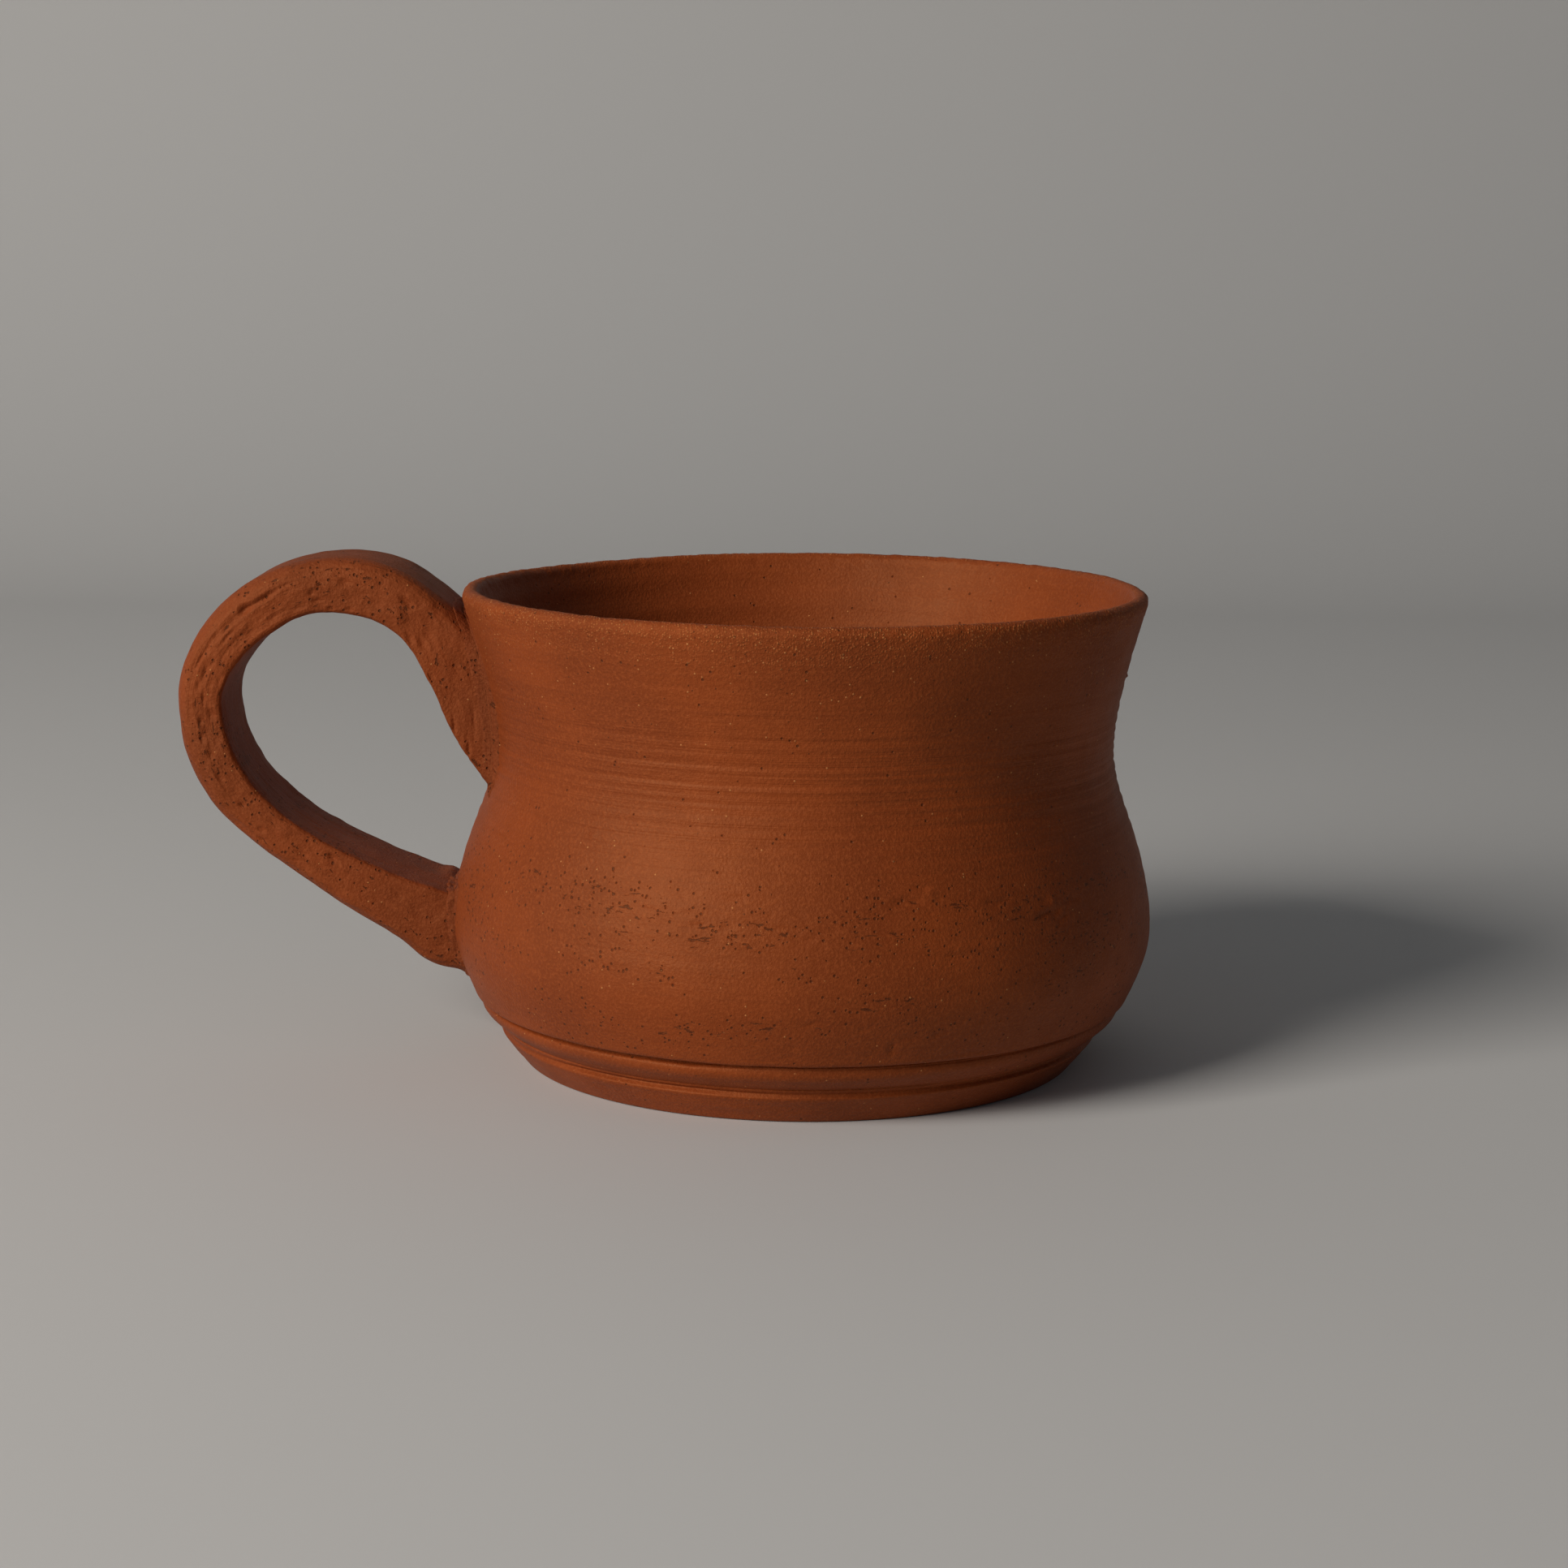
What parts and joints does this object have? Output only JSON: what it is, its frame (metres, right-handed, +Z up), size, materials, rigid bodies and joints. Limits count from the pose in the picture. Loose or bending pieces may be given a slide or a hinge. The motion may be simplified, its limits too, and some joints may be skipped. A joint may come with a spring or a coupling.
{
  "type": "ceramic mug",
  "caption": "Handmade wide earthenware mug with a waisted round body, a flared lip, a turned foot with stepped bands and a looped strap handle.",
  "frame": {"origin": "centre of the flat underside of the foot, on the wheel axis", "axes": "+Z up along the wheel axis towards the mouth; the handle points along -X; +Y completes the right-handed frame"},
  "size_m": [0.1429, 0.1034, 0.0738],
  "materials": {
    "thrown_body": "matt, unglazed, gritty",
    "handle": "matt, unglazed, hand-pulled",
    "slip_joint": "matt, unglazed, smeared"
  },
  "bodies": {
    "root": {"thrown_body": "thrown_body", "handle": "handle", "upper_slip_joint": "slip_joint", "lower_slip_joint": "slip_joint"}
  },
  "joints": []
}
